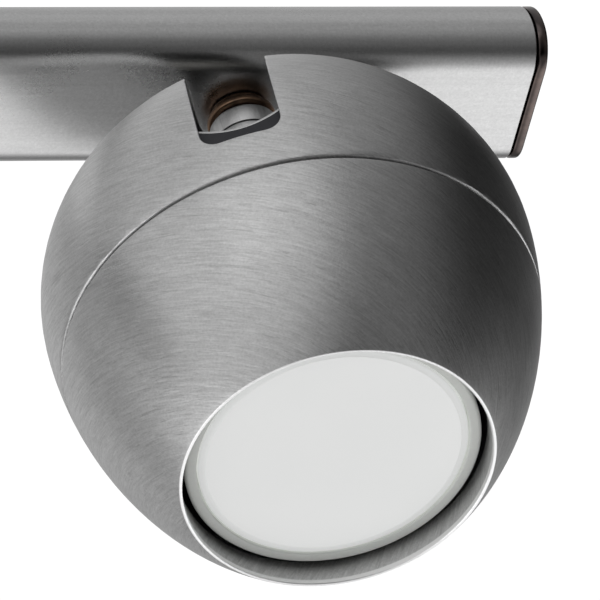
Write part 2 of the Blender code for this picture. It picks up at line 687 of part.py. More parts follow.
def make_pivot_pin(name, side):
    """Shouldered rivet through one lug and one yoke eye."""
    inner = LUG_DISTANCE - GAP
    outer = YOKE_RADIUS + YOKE_THICKNESS / 2 + GAP
    head = PIN_HEAD_RADIUS
    end = outer + PIN_HEAD_HEIGHT
    pin = lathe(name, [(0.0, inner - PIN_HEAD_HEIGHT), (head, inner - PIN_HEAD_HEIGHT), (head, inner),
                       (PIN_RADIUS, inner), (PIN_RADIUS, outer), (head, outer), (PIN_RADIUS, end),
                       (0.0, end)], SMALL_SEGMENTS)
    pin.data.transform(Matrix.Rotation(side * pi / 2, 4, "Y"))
    return pin


def make_holder_bracket(name):
    """U-shaped strap that holds the lamp holder behind the chassis plate."""
    inner = BRACKET_ARM_DISTANCE
    outer = inner + BRACKET_THICKNESS
    foot = BRACKET_FOOT_REACH
    foot_low = -PLATE_DEPTH + GAP
    foot_high = foot_low + BRACKET_THICKNESS
    base_low = -HOLDER_BACK_DEPTH + GAP
    base_high = base_low + BRACKET_THICKNESS
    right = [(foot, foot_low), (foot, foot_high), (outer, foot_high), (outer, base_high)]
    left = [(-outer, base_high), (-outer, foot_high), (-foot, foot_high), (-foot, foot_low),
            (-inner, foot_low), (-inner, base_low)]
    outline = right + left + [(inner, base_low), (inner, foot_low)]
    half = BRACKET_WIDTH / 2
    bracket = loft(name, [[(x, y, z) for x, z in outline] for y in (-half, half)])
    bottom = base_low - THROUGH
    top = base_high + THROUGH
    for side in (-1, 1):
        x = side * BRACKET_SCREW_X
        radius = BRACKET_SCREW_RADIUS + GAP
        cut(bracket, rod("hole", radius, (x, 0, foot_low - THROUGH), (x, 0, foot_high + THROUGH)))
        x = side * HOLDER_SCREW_X
        cut(bracket, rod("hole", HOLDER_SCREW_RADIUS + GAP, (x, 0, bottom), (x, 0, top)))
    return cut(bracket, rod("hole", BRACKET_WIRE_HOLE_RADIUS, (0, 0, bottom), (0, 0, top)))


def make_screw(name, x, radius, low, seat):
    """Pan-head screw pointing to -Z, its head on a seat height."""
    under = seat + GAP
    top = under + SCREW_HEAD_HEIGHT
    head = 2 * radius
    screw = lathe(name, [(0.0, low), (radius, low), (radius, under), (head, under),
                         (head - GAP, top), (0.0, top)], SMALL_SEGMENTS)
    screw.data.transform(Matrix.Translation((x, 0, 0)))
    return screw


def make_bracket_screw(name, side):
    """Screw that fastens a bracket foot to the chassis plate."""
    seat = -PLATE_DEPTH + GAP + BRACKET_THICKNESS
    low = -PLATE_DEPTH - 1.5 * PLATE_THICKNESS
    return make_screw(name, side * BRACKET_SCREW_X, BRACKET_SCREW_RADIUS, low, seat)


def make_holder_screw(name, side):
    """Screw through the bracket's base into the lamp holder."""
    back = -HOLDER_BACK_DEPTH
    seat = back + GAP + BRACKET_THICKNESS
    return make_screw(name, side * HOLDER_SCREW_X, HOLDER_SCREW_RADIUS, back - HOLDER_SCREW_LENGTH, seat)


def make_lamp_holder(name):
    """Ceramic lamp holder with two contact wells, two screw holes and a wire hole."""
    front = -HOLDER_FRONT_DEPTH
    back = -HOLDER_BACK_DEPTH
    neck = HOLDER_RADIUS - 1.5
    holder = lathe(name, [(0.0, front), (HOLDER_RADIUS, front), (HOLDER_RADIUS, back - 4.0),
                          (neck, back - 3.0), (neck, back), (0.0, back)])
    depth = HOLDER_SCREW_LENGTH + 1.0
    above = back + THROUGH
    for side in (-1, 1):
        x = side * LAMP_PIN_SPACING / 2
        well_top = (x, 0, front + HOLDER_WELL_DEPTH)
        cut(holder, rod("well", HOLDER_WELL_RADIUS, (x, 0, front - THROUGH), well_top, 16))
        x = side * HOLDER_SCREW_X
        cut(holder, rod("hole", HOLDER_SCREW_RADIUS + GAP, (x, 0, back - depth), (x, 0, above)))
    return cut(holder, rod("hole", WIRE_HOLE_RADIUS, (0, 0, back - depth), (0, 0, above)))


def make_holder_lead(name):
    """Short heat-proof lead from the holder, curled towards the stem's lower end."""
    back = -HOLDER_BACK_DEPTH
    points = [(0.0, 0.0, back - 4.0), (0.0, 0.0, back + 0.8), (0.0, 1.4, back + 2.5),
              (0.0, 6.0, back + 3.1), (0.0, 10.0, back + 2.4), (0.0, 14.0, back + 1.2)]
    return tube(name, smooth_route(points, 4), HOLDER_LEAD_RADIUS)


def make_lamp_body(name):
    """Cup-shaped lamp body, open at the front behind the lens."""
    front = -LAMP_FACE_DEPTH + BEZEL_DEPTH + GAP
    base = -LAMP_BASE_DEPTH
    waist = base - LAMP_NECK_LENGTH
    shoulder = LAMP_RADIUS - 0.8
    wall = LAMP_WALL
    outer = [(shoulder, front), (21.8, front + 12.0), (18.4, front + 22.0), (15.6, waist),
             (14.0, base - 3.0), (LAMP_BASE_RADIUS, base)]
    inner = [(LAMP_BASE_RADIUS - 2.2, base - wall), (LAMP_BASE_RADIUS, waist - wall),
             (18.4 - wall, front + 22.0), (21.8 - wall, front + 12.0), (shoulder - wall, front)]
    return lathe(name, outer + [(0.0, base), (0.0, base - wall)] + inner, LAMP_SEGMENTS)


def make_lamp_bezel(name):
    """Ring round the lens, clipped over the front of the lamp body."""
    face = -LAMP_FACE_DEPTH
    back = face + BEZEL_DEPTH
    seat = back - LENS_SEAT
    lip = LENS_RADIUS + GAP
    hole = lip - LENS_SEAT_WIDTH
    return lathe(name, [(lip, face), (LAMP_RADIUS - BEZEL_EDGE, face), (LAMP_RADIUS, face + BEZEL_EDGE),
                        (LAMP_RADIUS, back), (hole, back), (hole, seat), (lip, seat)], LAMP_SEGMENTS)


def make_lamp_lens(name):
    """Frosted lens disc, a little crowned."""
    face = -LAMP_FACE_DEPTH
    back = face + LENS_THICKNESS
    return lathe(name, [(0.0, back), (LENS_RADIUS, back), (LENS_RADIUS, face),
                        (LENS_RADIUS / 2, face - 0.75 * LENS_CROWN), (0.0, face - LENS_CROWN)],
                 LAMP_SEGMENTS)


def make_lamp_pin(name, side):
    """Contact pin with the thick end that locks by a quarter turn."""
    start = -LAMP_BASE_DEPTH + GAP
    end = start + LAMP_PIN_LENGTH
    thick = end - LAMP_PIN_HEAD
    pin = lathe(name, [(0.0, start), (LAMP_PIN_RADIUS, start), (LAMP_PIN_RADIUS, thick),
                       (LAMP_PIN_HEAD_RADIUS, thick), (LAMP_PIN_HEAD_RADIUS, end), (0.0, end)],
                SMALL_SEGMENTS)
    pin.data.transform(Matrix.Translation((side * LAMP_PIN_SPACING / 2, 0, 0)))
    return pin


# ---- assembly ------------------------------------------------------------------------
def clear_scene():
    for item in list(bpy.data.objects):
        bpy.data.objects.remove(item)


def finish(item, finish_name, parent=None):
    """Bring a piece to metres and give it its own material, shading and parent."""
    colour, roughness, metallic = FINISHES[finish_name]
    item.data.materials.clear()
    item.data.materials.append(make_material(item.name + "_" + finish_name, colour, roughness, metallic))
    if item.type == "MESH":
        item.data.transform(Matrix.Scale(MM, 4))
        item.data.shade_smooth()
        item.data.set_sharp_from_angle(angle=radians(32))
    item.parent = parent
    return item


def make_frame(name, location, rotation, parent=None):
    frame = bpy.data.objects.new(name, None)
    bpy.context.collection.objects.link(frame)
    frame.location = location
    frame.rotation_euler = rotation
    frame.parent = parent
    return frame


def build_base():
    finish(make_bar(), "satin_nickel")
    finish(make_strap(), "zinc_steel")
    finish(make_grommet(), "black_rubber")
    finish(make_terminal_block(), "nylon")
    finish(make_earth_stud(), "zinc_steel")
    finish(make_earth_tag(), "brass")
    for label, side in SIDES:
        finish(make_end_cap(label + "_end_cap", side), "dark_chrome")
        finish(make_grub(label + "_strap_grub_screw", side), "zinc_steel")
        finish(make_bar_lead(label + "_bar_lead", side), "wire_sheath")


def build_spot(label, side):
    pivot = (side * STEM_X * MM, 0.0, PIVOT_Z * MM)
    fixed = make_frame(label + "_stem_frame", pivot, (0, 0, 0))
    pan = make_frame(label + "_pan_frame", (0, 0, 0), (0, 0, radians(REST_PAN)), fixed)
    tilt = make_frame(label + "_tilt_frame", (0, 0, 0), (radians(-REST_TILT), 0, 0), pan)

    finish(make_washer(label + "_stem_washer"), "brass", fixed)
    finish(make_nipple(label + "_threaded_nipple"), "zinc_steel", fixed)
    finish(make_bar_nut(label + "_bar_nut"), "zinc_steel", fixed)

    finish(make_collar_cap(label + "_collar_cap"), "satin_nickel", pan)
    finish(make_swivel_stem(label + "_swivel_stem"), "satin_nickel", pan)
    finish(make_yoke(label + "_yoke"), "zinc_steel", pan)
    finish(make_yoke_nut(label + "_yoke_nut"), "zinc_steel", pan)

    finish(make_rear_shell(label + "_rear_shell"), "satin_nickel", tilt)
    finish(make_front_shell(label + "_front_shell"), "satin_nickel", tilt)
    finish(make_chassis(label + "_chassis_plate"), "zinc_steel", tilt)
    finish(make_holder_bracket(label + "_holder_bracket"), "zinc_steel", tilt)
    finish(make_lamp_holder(label + "_lamp_holder"), "ceramic", tilt)
    finish(make_holder_lead(label + "_holder_lead"), "wire_sheath", tilt)
    finish(make_lamp_body(label + "_lamp_body"), "lamp_white", tilt)
    finish(make_lamp_bezel(label + "_lamp_bezel"), "lamp_white", tilt)
    finish(make_lamp_lens(label + "_lamp_lens"), "frosted_white", tilt)
    for letter, hand in (("a", -1), ("b", 1)):
        finish(make_pivot_pin(label + "_pivot_pin_" + letter, hand), "zinc_steel", tilt)
        finish(make_lamp_pin(label + "_lamp_pin_" + letter, hand), "zinc_steel", tilt)
        finish(make_bracket_screw(label + "_bracket_screw_" + letter, hand), "zinc_steel", tilt)
        finish(make_holder_screw(label + "_holder_screw_" + letter, hand), "zinc_steel", tilt)


clear_scene()
build_base()
for spot_label, spot_side in SIDES:
    build_spot(spot_label, spot_side)
bpy.context.view_layer.update()
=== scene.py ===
"""Looks of the two-spot ceiling light bar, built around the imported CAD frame."""
import json
from math import asin, atan2, cos, degrees, hypot, pi, radians, sin, tan

import bmesh
import bpy
from mathutils import Matrix, Vector


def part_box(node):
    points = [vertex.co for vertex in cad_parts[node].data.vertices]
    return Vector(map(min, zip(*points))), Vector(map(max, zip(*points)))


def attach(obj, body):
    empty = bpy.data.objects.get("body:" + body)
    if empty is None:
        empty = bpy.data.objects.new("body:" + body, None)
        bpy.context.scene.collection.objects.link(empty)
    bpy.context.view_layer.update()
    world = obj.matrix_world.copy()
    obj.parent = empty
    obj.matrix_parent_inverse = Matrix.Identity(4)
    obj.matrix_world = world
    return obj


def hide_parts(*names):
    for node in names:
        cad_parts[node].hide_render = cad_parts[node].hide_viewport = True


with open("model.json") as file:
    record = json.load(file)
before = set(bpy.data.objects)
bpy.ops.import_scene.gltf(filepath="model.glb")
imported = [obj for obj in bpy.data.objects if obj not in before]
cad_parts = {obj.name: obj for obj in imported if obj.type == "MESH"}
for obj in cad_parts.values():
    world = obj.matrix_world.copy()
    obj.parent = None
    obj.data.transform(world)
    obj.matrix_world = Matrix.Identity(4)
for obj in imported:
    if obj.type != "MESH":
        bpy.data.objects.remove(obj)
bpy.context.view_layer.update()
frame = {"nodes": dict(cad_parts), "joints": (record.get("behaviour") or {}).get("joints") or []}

MM = 0.001

# ---- shape, mm; the same driving dimensions as the CAD part --------------------------
BAR_WALL = 1.5
BAR_LOW_RADIUS = 6.0
BAR_HIGH_RADIUS = 11.0
BAR_EDGE = 0.15
CAP_EDGE = 0.45
CAP_INNER_EDGE = 0.36
PLUG_OVERLAP = 0.5           # how far the plug runs into the cap
GAP = 0.3                    # between pieces that touch
FINE_EDGE = 0.15             # rounding of small turned edges

REST_TILT = 4.0              # degrees
BALL_RADIUS = 41.9
BALL_REAR_DEPTH = 37.8
BALL_FRONT_REACH = 57.8
BALL_FRONT_POWER = 1.9
RIM_DEPTH = 43.3
RIM_BORE_RADIUS = 26.1
RIM_BORE_LENGTH = 5.2
RIM_EDGE = 0.2
SHELL_WALL = 2.0
GROOVE_DEPTH = 11.5
GROOVE_WIDTH = 0.5
GROOVE_EDGE = 0.3
SEAT_RADIUS = 40.2
SEAT_DEPTH = 7.3
SPIGOT_END = 9.1
SLOT_WIDTH = 13.8
SLOT_FRONT_DEPTH = 4.0
SLOT_BACK_REACH = 7.0
SLOT_CORNER = 3.0
SLOT_EDGE = 0.25

LIP_DISTANCE = 37.1
LIP_HALF_WIDTH = 7.4
LIP_TOP = 1.4
LIP_CURVE_RADIUS = 14.0
LIP_ROLL = 0.62

LAMP_RADIUS = 25.0
LAMP_FACE_DEPTH = 39.3
BEZEL_DEPTH = 2.9
LENS_RADIUS = 22.8
LENS_THICKNESS = 1.6
LENS_GREY_WIDTH = 1.2        # greyer band round the lens

COLLAR_RADIUS = 5.95
COLLAR_NECK_RADIUS = 5.0
COLLAR_NECK_TOP = 40.1
COLLAR_TOP = 39.4
COLLAR_SEAM = 35.5
COLLAR_BOTTOM = 33.5
COLLAR_CAVITY_RADIUS = 5.3
COLLAR_EDGE = 0.35
COLLAR_ROOF = 1.1            # cavity above and below the seam
COLLAR_FLOOR = 1.0
SEAM_EDGE = 0.12
NIPPLE_RADIUS = 4.0
STEM_BORE_RADIUS = 2.5
STUB_RADIUS = 3.9
STUB_BOTTOM = 27.9
WASHER_RADIUS = 6.0
WASHER_LOW = 40.4
WASHER_STEP = 41.5
WASHER_NECK_RADIUS = 5.2
PIVOT_DROP = 43.2

FINE_SEGMENTS = 144          # round the ball
STEM_SEGMENTS = 64
CURVE_STEPS = 26
FILLET_STEPS = 4
CORNER_STEPS = 8
BAR_ARC_STEPS = (16, 18)     # lower and upper arc of each side
CAP_STEPS = 5
CUTTER_SEGMENTS = 40
CUTTER_LENGTH = 8.0
THROUGH = 3.0                # how far a cutter runs past what it cuts

# ---- the view ------------------------------------------------------------------------
VIEW_AZIMUTH = -21.89        # degrees
VIEW_RISE = 41.88            # the camera looks up by this angle
VIEW_ROLL = -15.6
VIEW_DISTANCE = 1.6          # metres
# metres from the picture's middle to the ball's, to the right and down
VIEW_SHIFT = (-0.00176, -0.00112)
VIEW_LENS = 571.5

SPOTS = ("left", "right")
SHARP_ANGLE = 35.0           # degrees; flatter edges are shaded smooth
BRUSH_SLOPE = 0.45           # the brush strokes run a little across the circles
MIDDLE = (0.35, 0.65)        # band of a noise that is stretched to its full range
WIDE = (0.3, 0.7)
PEAKS = (0.58, 0.70)         # band that leaves only a noise's peaks
ROUND_MAP = "round"          # UV map: turn about the piece's axis, swing from its pole


def front_radius(depth):
    """Radius of the ball's front part at a depth below its middle."""
    power = BALL_FRONT_POWER
    return BALL_RADIUS * (1 - (depth / BALL_FRONT_REACH) ** power) ** (1 / power)


# ---- materials -----------------------------------------------------------------------
class Graph:
    """A material's node tree with short ways to add and join nodes."""

    def __init__(self, name):
        self.material = bpy.data.materials.new(name)
        self.material.use_nodes = True
        self.tree = self.material.node_tree
        self.shader = self.tree.nodes["Principled BSDF"]

    def join(self, node, inputs):
        for key, value in inputs.items():
            if isinstance(value, bpy.types.NodeSocket):
                self.tree.links.new(value, node.inputs[key])
            else:
                node.inputs[key].default_value = value
        return node

    def add(self, kind, inputs=None, **settings):
        node = self.tree.nodes.new(kind)
        for key, value in settings.items():
            setattr(node, key, value)
        return self.join(node, inputs or {})

    def math(self, operation, *values):
        inputs = dict(enumerate(values))
        return self.add("ShaderNodeMath", inputs, operation=operation).outputs[0]

    def noise(self, vector, scale, detail=2.0, roughness=0.5, distortion=0.0):
        inputs = {"Vector": vector, "Scale": scale, "Detail": detail, "Roughness": roughness,
                  "Distortion": distortion}
        return self.add("ShaderNodeTexNoise", inputs).outputs["Fac"]

    def mix(self, *parts):
        """Weighted sum of (value, weight) pairs."""
        total = None
        for value, weight in parts:
            share = value if weight == 1 else self.math("MULTIPLY", value, weight)
            total = share if total is None else self.math("ADD", total, share)
        return total

    def span(self, value, band, to_low=0.0, to_high=1.0):
        """Stretch the band of a value to a new range, and cut off what lies outside."""
        inputs = {0: value, 1: band[0], 2: band[1], 3: to_low, 4: to_high}
        return self.add("ShaderNodeMapRange", inputs).outputs[0]

    def around(self, value, band, middle, swing):
        return self.span(value, band, middle - swing, middle + swing)

    def blend(self, factor, first, second):
        node = self.add("ShaderNodeMix", data_type="RGBA")
        return self.join(node, {0: factor, 6: first, 7: second}).outputs[2]

    def place(self):
        return self.add("ShaderNodeTexCoord").outputs["Object"]

    def round_place(self):
        """Turn about the piece's axis and swing from its pole, in radians."""
        place = self.add("ShaderNodeUVMap", uv_map=ROUND_MAP).outputs[0]
        turn, swing, _ = self.add("ShaderNodeSeparateXYZ", {0: place}).outputs
        return turn, swing

    def stretch(self, vector, scale):
        return self.add("ShaderNodeMapping", {"Vector": vector, "Scale": scale}).outputs[0]

    def surface(self, base, rough, metallic, height, depth):
        """Set the shader, with a bump of the given depth in metres."""
        inputs = {"Height": height, "Distance": depth, "Strength": 1.0}
        normal = self.add("ShaderNodeBump", inputs).outputs[0]
        self.join(self.shader, {"Base Color": base, "Roughness": rough, "Metallic": metallic,
                                "Normal": normal})


def shade(colour, factor):
    return tuple(min(1.0, channel * factor) for channel in colour) + (1.0,)


def around_axis(graph, along, across):
    """Coordinates that run along circles round the piece's axis and across them."""
    turn, swing = graph.round_place()
    swing = graph.math("SUBTRACT", swing, graph.math("MULTIPLY", turn, BRUSH_SLOPE))
    reach = BALL_RADIUS * MM
    inputs = {"X": graph.math("MULTIPLY", graph.math("COSINE", turn), reach * along),
              "Y": graph.math("MULTIPLY", graph.math("SINE", turn), reach * along),
              "Z": graph.math("MULTIPLY", swing, reach * across)}
    return graph.add("ShaderNodeCombineXYZ", inputs).outputs[0]


def brushed_metal(name, colour, roughness, contrast=0.20):
    """Metal brushed along circles round the piece's axis, with worn scratch marks whose grooves are
    darkened as painted shade.
    """
    graph = Graph(name)
    lines = graph.noise(around_axis(graph, 210.0, 2600.0), 1.0, 3.0, 0.65, 0.5)
    hairs = graph.noise(around_axis(graph, 500.0, 4800.0), 1.0, 2.0, 0.7, 0.3)
    worn = graph.noise(around_axis(graph, 150.0, 1900.0), 1.0, 3.0, 0.7, 0.8)
    haze = graph.noise(graph.place(), 38.0, 3.0)
    spots = graph.noise(graph.place(), 2400.0, 2.0, 0.6)
    scratch_wear_and_shade = graph.span(worn, PEAKS)
    tone = graph.span(graph.mix((lines, 0.5), (hairs, 0.2), (spots, 0.3)), MIDDLE)
    base = graph.blend(tone, shade(colour, 1 - contrast), shade(colour, 1 + contrast))
    # the scratch marks are real wear; their darker colour is painted shade standing in for the shadow in
    # their grooves
    base = graph.blend(graph.mix((scratch_wear_and_shade, 0.5)), base, shade(colour, 0.62))
    rough = graph.mix((graph.around(haze, WIDE, roughness, 0.03), 1), (hairs, 0.04))
    graph.surface(base, rough, 1.0, graph.mix((tone, 1), (scratch_wear_and_shade, -0.8)), 0.000020)
    return graph


def ball_metal():
    """Brushed nickel that smears reflections across its strokes; its turned rim and bore get near-white
    colour as a painted highlight.
    """
    graph = brushed_metal("satin_nickel_ball", (0.60, 0.60, 0.60), 0.40)
    tangent = graph.add("ShaderNodeTangent", direction_type="UV_MAP", uv_map=ROUND_MAP)
    # painted highlight: the turned rim and the bore past it get near-white metal colour so they read
    # bright
    rim_swing = atan2(front_radius(RIM_DEPTH), -RIM_DEPTH)
    rim = graph.span(graph.round_place()[1], (rim_swing - 0.003, rim_swing))
    base = graph.shader.inputs["Base Color"].links[0].from_socket
    graph.join(graph.shader, {"Anisotropic": 0.75, "Anisotropic Rotation": 0.25,
                              "Tangent": tangent.outputs[0],
                              "Base Color": graph.blend(rim, base, (0.96, 0.96, 0.96, 1))})
    return graph.material


def blasted_metal(name, colour, roughness):
    """Bead-blasted metal under lacquer: fine even grain, faint draw lines, soft clouds."""
    graph = Graph(name)
    place = graph.place()
    grain = graph.noise(place, 2300.0, 3.0, 0.65)
    specks = graph.span(graph.noise(place, 1300.0, 2.0, 0.7), PEAKS)
    draw = graph.noise(graph.stretch(place, (30.0, 1500.0, 1500.0)), 1.0, 2.0)
    clouds = graph.noise(place, 45.0, 3.0)
    tone = graph.span(graph.mix((grain, 0.75), (draw, 0.25)), MIDDLE)
    base = graph.blend(tone, shade(colour, 0.90), shade(colour, 1.08))
    base = graph.blend(graph.mix((specks, 0.25)), base, shade(colour, 1.35))
    rough = graph.mix((graph.around(clouds, WIDE, roughness, 0.03), 1), (grain, 0.05))
    graph.surface(base, rough, 1.0, graph.mix((grain, 0.8), (draw, 0.2)), 0.000008)
    return graph.material


def plated_steel(name, colour, roughness):
    """Zinc-plated sheet, and dark steel sheet whose darkness also paints shade: cloudy crystals and a fine
    tooth.
    """
    graph = Graph(name)
    place = graph.place()
    clouds = graph.span(graph.noise(place, 130.0, 4.0, 0.6, 0.6), WIDE)
    tooth = graph.noise(place, 2200.0, 2.0)
    base = graph.blend(clouds, shade(colour, 0.86), shade(colour, 1.1))
    rough = graph.around(graph.noise(place, 420.0, 3.0), WIDE, roughness, 0.08)
    graph.surface(base, rough, 1.0, tooth, 0.00001)
    return graph.material


def dark_chrome():
    graph = Graph("dark_chrome")
    place = graph.place()
    smudge = graph.span(graph.noise(place, 160.0, 4.0, 0.6, 0.4), MIDDLE)
    base = graph.blend(smudge, (0.055, 0.05, 0.052, 1), (0.14, 0.11, 0.10, 1))
    rough = graph.around(graph.noise(place, 700.0, 3.0), WIDE, 0.16, 0.04)
    graph.surface(base, rough, 1.0, graph.noise(place, 240.0, 2.0), 0.00003)
    return graph.material


def turned_brass():
    graph = Graph("turned_brass")
    place = graph.place()
    rings = graph.noise(graph.stretch(place, (400.0, 400.0, 3800.0)), 1.0, 2.0)
    tarnish = graph.noise(place, 300.0, 4.0, 0.6)
    base = graph.blend(graph.span(tarnish, (0.35, 0.7)), (0.30, 0.19, 0.12, 1), (0.10, 0.066, 0.05, 1))
    rough = graph.around(tarnish, WIDE, 0.32, 0.08)
    graph.surface(base, rough, 1.0, rings, 0.00001)
    return graph.material


def moulded(name, colour, roughness, speckle=0.05, grain=1400.0):
    """Moulded or fired non-metal: faint speckle, mottled gloss and a fine skin."""
    graph = Graph(name)
    place = graph.place()
    spots = graph.noise(place, grain, 3.0, 0.6)
    clouds = graph.noise(place, 90.0, 3.0)
    tone = graph.span(graph.mix((spots, 0.5), (clouds, 0.5)), MIDDLE)
    base = graph.blend(tone, shade(colour, 1 - speckle), shade(colour, 1 + speckle / 2))
    rough = graph.around(clouds, WIDE, roughness, 0.06)
    graph.surface(base, rough, 0.0, spots, 0.00001)
    return graph.material


def frosted_lens():
    """Frosted disc that greys a little towards its edge, with a faint glow of painted light on the unlit
    lamp.
    """
    graph = Graph("frosted_lens")
    place = graph.place()
    swing = graph.math("SUBTRACT", pi, graph.round_place()[1])
    radius = graph.math("MULTIPLY", graph.math("TANGENT", swing), LAMP_FACE_DEPTH * MM)
    outer = (LENS_RADIUS - 0.2) * MM
    edge = graph.span(radius, (outer - LENS_GREY_WIDTH * MM, outer))
    frost = graph.noise(place, 2400.0, 3.0, 0.6)
    clouds = graph.span(graph.noise(place, 70.0, 2.0), WIDE)
    base = graph.blend(clouds, (0.90, 0.915, 0.91, 1), (0.93, 0.94, 0.935, 1))
    base = graph.blend(edge, base, (0.72, 0.74, 0.73, 1))
    graph.surface(base, graph.around(frost, WIDE, 0.45, 0.07), 0.0, frost, 0.000006)
    # painted light: the unlit lens glows faintly to stand in for the light that falls on it
    graph.join(graph.shader, {"Emission Color": (1.0, 1.0, 0.99, 1), "Emission Strength": 0.30})
    return graph.material


NICKEL_BALL = ball_metal()
NICKEL_BAR = blasted_metal("satin_nickel_bar", (0.60, 0.60, 0.60), 0.27)
NICKEL_STEM = brushed_metal("satin_nickel_stem", (0.56, 0.56, 0.56), 0.30, 0.06).material
DARK_CHROME = dark_chrome()
ZINC = plated_steel("zinc_plate", (0.60, 0.61, 0.62), 0.40)
# dark steel for the parts inside the ball; on the chassis plate its darkness is painted shade where the
# shell shades the plate
DARK_STEEL_AND_SHADE = plated_steel("dark_steel_and_painted_shade", (0.06, 0.06, 0.065), 0.45)
BRASS = turned_brass()
CERAMIC = moulded("ceramic", (0.84, 0.82, 0.77), 0.55, 0.06)
LAMP_WHITE = moulded("lamp_white", (0.90, 0.92, 0.88), 0.35, 0.03)
NYLON = moulded("nylon", (0.80, 0.80, 0.76), 0.48)
RUBBER = moulded("black_rubber", (0.03, 0.03, 0.03), 0.65, 0.15, 2600.0)
SHEATH = moulded("wire_sheath", (0.72, 0.71, 0.66), 0.50, 0.06, 1800.0)
LENS = frosted_lens()


# ---- mesh helpers; shapes are written in mm --------------------------------------------
def new_piece(name, build):
    """Object whose mesh, in mm, is filled by build(bmesh) and faces out."""
    work = bmesh.new()
    build(work)
    bmesh.ops.recalc_face_normals(work, faces=work.faces)
    mesh = bpy.data.meshes.new(name)
    work.to_mesh(mesh)
    work.free()
    piece = bpy.data.objects.new(name, mesh)
    bpy.context.collection.objects.link(piece)
    return piece


def fillet(before, corner, after, radius):
    """Points of an arc that rounds the corner between two straight edges."""
    to_before = (before - corner).normalized()
    to_after = (after - corner).normalized()
    half = to_before.angle(to_after) / 2
    reach = min(radius / tan(half), 0.49 * (before - corner).length, 0.49 * (after - corner).length)
    radius = reach * tan(half)
    centre = corner + (to_before + to_after).normalized() * radius / sin(half)
    start = corner + to_before * reach - centre
    end = corner + to_after * reach - centre
    points = []
    for share in steps_between(0.0, 1.0, FILLET_STEPS):
        direction = start.lerp(end, share)
        points.append(centre + direction.normalized() * radius)
    return points


def rounded(corners):
    """Closed outline from (a, b) points, with a third value where a corner is rounded."""
    points = []
    count = len(corners)
    for index, corner in enumerate(corners):
        here = Vector(corner[:2])
        if len(corner) == 2:
            points.append(here)
            continue
        before = Vector(corners[index - 1][:2])
        after = Vector(corners[(index + 1) % count][:2])
        points += fillet(before, here, after, corner[2])
    return points


def lathe(name, corners, segments=STEM_SEGMENTS):
    """Turn a closed outline of (radius, z) corners about Z."""
    outline = rounded(corners)

    def build(work):
        rings = []
        for radius, height in outline:
            if radius < 1e-6:
                rings.append([work.verts.new((0.0, 0.0, height))])
                continue
            ring = []
            for step in range(segments):
                angle = 2 * pi * (step + 0.5) / segments
                ring.append(work.verts.new((radius * cos(angle), radius * sin(angle), height)))
            rings.append(ring)
        for ring, following in zip(rings, rings[1:] + rings[:1]):
            if len(ring) == 1 and len(following) == 1:
                continue
            for step in range(segments):
                after = (step + 1) % segments
                loop = [ring[step % len(ring)], ring[after % len(ring)],
                        following[after % len(following)], following[step % len(following)]]
                work.faces.new(list(dict.fromkeys(loop)))
    return new_piece(name, build)


def loft(name, sections):
    """Skin closed outlines of equal point counts."""
    def build(work):
        loops = [[work.verts.new(point) for point in section] for section in sections]
        for loop, following in zip(loops, loops[1:]):
            count = len(loop)
            for step in range(count):
                after = (step + 1) % count
                work.faces.new((loop[step], loop[after], following[after], following[step]))
        work.faces.new(loops[0])
        work.faces.new(loops[-1])
    return new_piece(name, build)


def combine(piece, other, operation):
    """Boolean the other piece into this one for good, and remove it."""
    modifier = piece.modifiers.new("combine", "BOOLEAN")
    modifier.operation = operation
    modifier.solver = "EXACT"
    modifier.object = other
    bpy.context.view_layer.update()
    evaluated = piece.evaluated_get(bpy.context.evaluated_depsgraph_get())
    mesh = bpy.data.meshes.new_from_object(evaluated)
    piece.modifiers.clear()
    piece.data = mesh
    bpy.data.objects.remove(other)


def arc(centre, radius, start_degrees, end_degrees, steps):
    points = []
    for step in range(steps + 1):
        angle = radians(start_degrees + (end_degrees - start_degrees) * step / steps)
        points.append((centre[0] + radius * cos(angle), centre[1] + radius * sin(angle)))
    return points


def steps_between(first, last, count):
    return [first + (last - first) * step / count for step in range(count + 1)]


def middle_and_size(node):
    """Middle and size of a CAD node's box, in mm."""
    low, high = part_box(node)
    return (low + high) / 2 / MM, (high - low) / MM


def soften(piece, width, sharp_angle, inside):
    """Bevel the sharp edges that pass the inside test."""
    work = bmesh.new()
    work.from_mesh(piece.data)
    bmesh.ops.remove_doubles(work, verts=work.verts, dist=width * 0.6)
    bmesh.ops.dissolve_degenerate(work, edges=work.edges, dist=width * 0.1)
    chosen = []
    for edge in work.edges:
        if len(edge.link_faces) == 2 and edge.calc_face_angle() >= radians(sharp_angle) and inside(edge):
            chosen.append(edge)
    bmesh.ops.bevel(work, geom=chosen, offset=width, segments=3, profile=0.5, affect="EDGES",
                    clamp_overlap=False)
    work.to_mesh(piece.data)
    work.free()


def map_round(piece):
    """UV map, in radians: u turns about the piece's Z axis, v swings from its upper pole."""
    mesh = piece.data
    layer = mesh.uv_layers.new(name=ROUND_MAP)
    for face in mesh.polygons:
        first = atan2(face.center.y, face.center.x)
        for index in face.loop_indices:
            place = mesh.vertices[mesh.loops[index].vertex_index].co
            reach = hypot(place.x, place.y)
            turn = atan2(place.y, place.x) if reach > 1e-4 else first
            turn -= 2 * pi * round((turn - first) / (2 * pi))
            layer.data[index].uv = (turn, atan2(reach, place.z))


def finish(piece, material, body, replaces, place=None):
    """Bring a piece to metres and into place, give it its material, hang it on its body."""
    piece.data.materials.clear()
    piece.data.materials.append(material)
    if place is not None:
        map_round(piece)
    piece.data.transform((place or Matrix()) @ Matrix.Scale(MM, 4))
    piece.data.shade_smooth()
    piece.data.set_sharp_from_angle(angle=radians(SHARP_ANGLE))
    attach(piece, body)
    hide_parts(*replaces)


# ---- the bar -------------------------------------------------------------------------
bar_low, bar_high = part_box("bar_profile")
BAR_HEIGHT = -bar_low.z / MM
BAR_WIDTH = (bar_high.y - bar_low.y) / MM
BAR_HALF = bar_high.x / MM
CORNER_Z = -BAR_HEIGHT + BAR_LOW_RADIUS


